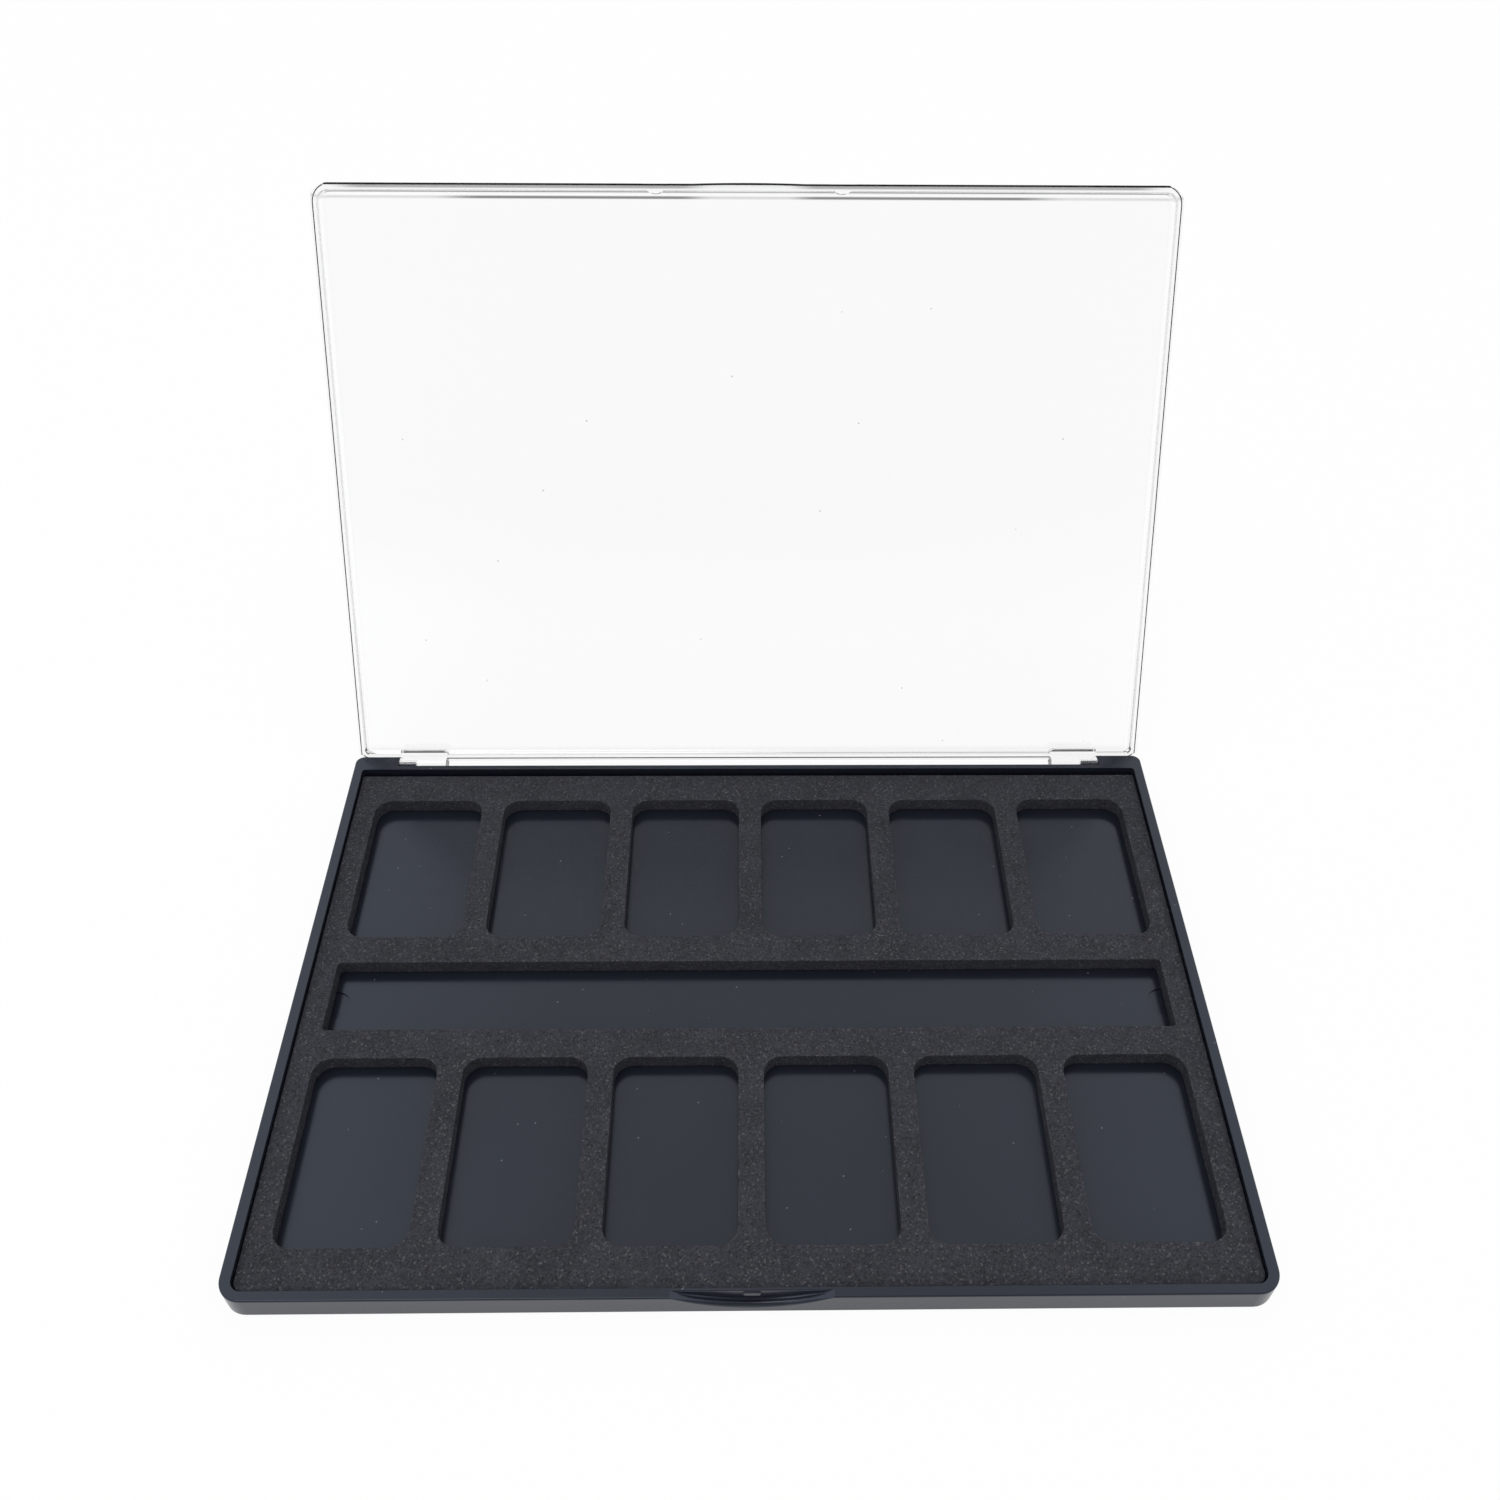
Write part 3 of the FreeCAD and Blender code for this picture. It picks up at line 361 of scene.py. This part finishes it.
def drawn_steel():
    """Drawn steel wire: bright, with fine rings from the cutting tool and the draw marks along it."""
    material, tree, output, place = new_material("steel_drawn_wire")
    rings = node(tree, "TexWave", {"Vector": place, "Scale": per(2.0), "Distortion": 1.5, "Detail": 2.0},
                 bands_direction="X").outputs["Fac"]
    wear = node(tree, "TexNoise", {"Vector": place, "Scale": per(1.2), "Detail": 4.0}).outputs["Fac"]
    rough = node(tree, "MapRange", {0: wear, 1: 0.3, 2: 0.7, 3: 0.22, 4: 0.42}).outputs[0]
    colour = node(tree, "Mix", {0: rings, 6: linear("#5C5E62"), 7: linear("#86888C")},
                  data_type="RGBA").outputs[2]
    bump = node(tree, "Bump", {"Strength": 0.2, "Distance": 0.04 * MM, "Height": rings}).outputs[0]
    shader = node(tree, "BsdfPrincipled", {"Base Color": colour, "Metallic": 1.0, "Roughness": rough,
                                           "Normal": bump})
    tree.links.new(shader.outputs[0], output.inputs["Surface"])
    return material


def dress(name, material):
    """Gives a CAD node its finish."""
    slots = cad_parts[name].data.materials
    slots.clear()
    slots.append(material)


def make_floor():
    """A plain pale floor, white to the eye and through the clear panel and partly so in gloss, which keeps
    the object's shadow. Rays turned inside the lid also meet a dim strip, where a white table would end."""
    reach = 2.5
    eye_share, gloss_share = 0.94, 0.55
    strip_middle, strip_half, strip_level = 0.79, 0.21, 0.05
    mesh = bpy.data.meshes.new("floor")
    mesh.from_pydata([(-reach, -reach, 0), (reach, -reach, 0), (reach, reach, 0), (-reach, reach, 0)], [],
                     [(0, 1, 2, 3)])
    floor = bpy.data.objects.new("floor", mesh)
    bpy.context.scene.collection.objects.link(floor)
    material, tree, output, place = new_material("matt_white_floor")
    path = node(tree, "LightPath")
    bent = path.outputs["Is Transmission Ray"]
    seen = node(tree, "Math", {0: path.outputs["Is Camera Ray"], 1: bent}, operation="MAXIMUM").outputs[0]
    bare = node(tree, "Math", {0: seen, 1: eye_share}, operation="MULTIPLY").outputs[0]
    mirrored = node(tree, "Math", {0: path.outputs["Is Glossy Ray"], 1: gloss_share},
                    operation="MULTIPLY").outputs[0]
    share = node(tree, "Math", {0: bare, 1: mirrored}, operation="MAXIMUM").outputs[0]
    far = node(tree, "SeparateXYZ", {0: place}).outputs["Y"]
    strip = node(tree, "Math", {0: far, 1: strip_middle, 2: strip_half}, operation="COMPARE").outputs[0]
    turned = node(tree, "Math", {0: path.outputs["Ray Depth"], 1: TURNED_DEPTH},
                  operation="GREATER_THAN").outputs[0]
    inside = node(tree, "Math", {0: turned, 1: bent}, operation="MULTIPLY").outputs[0]
    dim = node(tree, "Math", {0: strip, 1: inside}, operation="MULTIPLY").outputs[0]
    level = node(tree, "MapRange", {0: dim, 3: 1.0, 4: strip_level}).outputs[0]
    paint = node(tree, "BsdfDiffuse", {"Color": linear("#F4F4F4")})
    white = node(tree, "Emission", {"Color": (1.0, 1.0, 1.0, 1.0), "Strength": level})
    mixed = node(tree, "MixShader", {0: share, 1: paint.outputs[0], 2: white.outputs[0]})
    tree.links.new(mixed.outputs[0], output.inputs["Surface"])
    floor.data.materials.append(material)


def make_light():
    """A white room for the light itself and for what shows through the clear panel. Gloss sees what stands
    round a white table: pale to a little above it, then a dark wall behind and the dim side of the room in
    front. Rays turned inside the lid see that wall too. One soft box hangs overhead."""
    # Each pair is a stretch of a ray's direction: of its height, 0 level and 1 straight up, or its X or Y
    wall_rise, ceiling_rise, top_rise = (0.05, 0.15), (0.45, 0.65), (0.83, 0.91)
    ahead_rise, pale_rise = (0.25, 0.345), (0.5, 0.7)
    front_turn, straight_turn, side_turn, side_middle = (0.15, -0.35), (0.75, 0.92), (0.16, 0.38), 0.03
    table_level, panel_level, wall_level, ceiling_level, top_drop = 0.9, 0.96, 0.4, 0.5, -0.1
    ahead_level, pale_level, middle_gain, side_gain = 0.27, 0.55, 0.87, 1.42
    scene = bpy.context.scene
    world = bpy.data.worlds.new("white_room")
    scene.world = world
    world.use_nodes = True
    tree = world.node_tree
    tree.nodes.clear()
    path = node(tree, "LightPath")
    direction = node(tree, "SeparateXYZ", {0: node(tree, "TexCoord").outputs["Generated"]})
    height = direction.outputs["Z"]
    smooth = {"interpolation_type": "SMOOTHSTEP"}
    wall = node(tree, "MapRange", {0: height, 1: wall_rise[0], 2: wall_rise[1], 3: 1.0, 4: wall_level},
                **smooth).outputs[0]
    ceiling = node(tree, "MapRange", {0: height, 1: ceiling_rise[0], 2: ceiling_rise[1], 3: 0.0,
                                      4: ceiling_level}, **smooth).outputs[0]
    above = node(tree, "MapRange", {0: height, 1: top_rise[0], 2: top_rise[1], 3: 0.0, 4: top_drop},
                 **smooth).outputs[0]
    overhead = node(tree, "Math", {0: ceiling, 1: above}, operation="ADD").outputs[0]
    behind = node(tree, "Math", {0: wall, 1: overhead}, operation="ADD").outputs[0]
    ahead = node(tree, "MapRange", {0: height, 1: ahead_rise[0], 2: ahead_rise[1], 3: table_level,
                                    4: ahead_level}, **smooth).outputs[0]
    depth = direction.outputs["Y"]
    front = node(tree, "MapRange", {0: depth, 1: front_turn[0], 2: front_turn[1], 3: 0.0, 4: 1.0},
                 **smooth).outputs[0]
    around = node(tree, "Mix", {0: front, 2: behind, 3: ahead}).outputs[0]
    # Gloss meets more light, and bluer, from the windows at the two sides
    across = node(tree, "Math", {0: direction.outputs["X"], 1: side_middle}, operation="SUBTRACT").outputs[0]
    aside = node(tree, "Math", {0: across}, operation="ABSOLUTE").outputs[0]
    side = node(tree, "MapRange", {0: aside, 1: side_turn[0], 2: side_turn[1], 3: 0.0, 4: 1.0},
                **smooth).outputs[0]
    gain = node(tree, "MapRange", {0: side, 3: middle_gain, 4: side_gain}).outputs[0]
    gloss = node(tree, "Math", {0: around, 1: gain}, operation="MULTIPLY").outputs[0]
    # Through the panel the room is white. Rays turned inside the lid see the wall where they go straight back
    straight = node(tree, "MapRange", {0: depth, 1: straight_turn[0], 2: straight_turn[1], 3: 0.0, 4: 1.0},
                    **smooth).outputs[0]
    pale = node(tree, "MapRange", {0: height, 1: pale_rise[0], 2: pale_rise[1], 3: panel_level,
                                   4: pale_level}, **smooth).outputs[0]
    room_seen = node(tree, "Mix", {0: straight, 2: pale, 3: behind}).outputs[0]
    turned = node(tree, "Math", {0: path.outputs["Ray Depth"], 1: TURNED_DEPTH},
                  operation="GREATER_THAN").outputs[0]
    through = node(tree, "Mix", {0: turned, 2: panel_level, 3: room_seen}).outputs[0]
    bent = path.outputs["Is Transmission Ray"]
    lit = node(tree, "Mix", {0: path.outputs["Is Glossy Ray"], 2: table_level, 3: gloss}).outputs[0]
    strength = node(tree, "Mix", {0: bent, 2: lit, 3: through}).outputs[0]
    blue = node(tree, "Math", {0: side, 1: path.outputs["Is Glossy Ray"]}, operation="MULTIPLY").outputs[0]
    unbent = node(tree, "Math", {0: 1.0, 1: bent}, operation="SUBTRACT").outputs[0]
    share = node(tree, "Math", {0: blue, 1: unbent}, operation="MULTIPLY").outputs[0]
    tint = node(tree, "Mix", {0: share, 6: (1.0, 1.0, 1.0, 1.0), 7: (0.86, 0.9, 1.0, 1.0)}, data_type="RGBA")
    room = node(tree, "Background", {"Color": tint.outputs[2], "Strength": strength})
    white = node(tree, "Background", {"Color": (1.0, 1.0, 1.0, 1.0), "Strength": 1.0})
    mixed = node(tree, "MixShader", {0: path.outputs["Is Camera Ray"], 1: room.outputs[0],
                                     2: white.outputs[0]})
    tree.links.new(mixed.outputs[0], node(tree, "OutputWorld").inputs["Surface"])

    lamp = bpy.data.lights.new("soft_box", "AREA")
    lamp.shape = "SQUARE"
    lamp.size = 0.6
    lamp.energy = 2.2
    box = bpy.data.objects.new("soft_box", lamp)
    scene.collection.objects.link(box)
    box.location = (-0.30, -0.12, 1.2)
    box.rotation_euler = (-box.location).to_track_quat("-Z", "Y").to_euler()


def make_camera():
    """The photograph's camera: its lens and framing, its angles down, aside and about its own axis, its
    place."""
    lens = bpy.data.cameras.new("camera")
    lens.sensor_width = 36.0
    lens.lens = 33.634
    lens.shift_x = -0.01114
    lens.shift_y = -0.0012
    camera = bpy.data.objects.new("camera", lens)
    bpy.context.scene.collection.objects.link(camera)
    down, aside, roll = (math.radians(angle) for angle in (45.8136, -1.2459, -0.7811))
    turn = (Matrix.Rotation(aside, 3, "Z") @ Matrix.Rotation(math.pi / 2 - down, 3, "X")
            @ Matrix.Rotation(-roll, 3, "Z"))
    place = Vector((-1.3285, -223.0537, 330.6382)) * MM
    camera.matrix_world = Matrix.Translation(place) @ turn.to_4x4()
    bpy.context.scene.camera = camera


make_camera()
make_floor()
make_light()
make_foam()
dress("base_tray", moulded_black())
dress("clear_lid", moulded_clear())
steel = drawn_steel()
dress("hinge_pin_left", steel)
dress("hinge_pin_right", steel)
bpy.context.scene.view_settings.view_transform = "Standard"
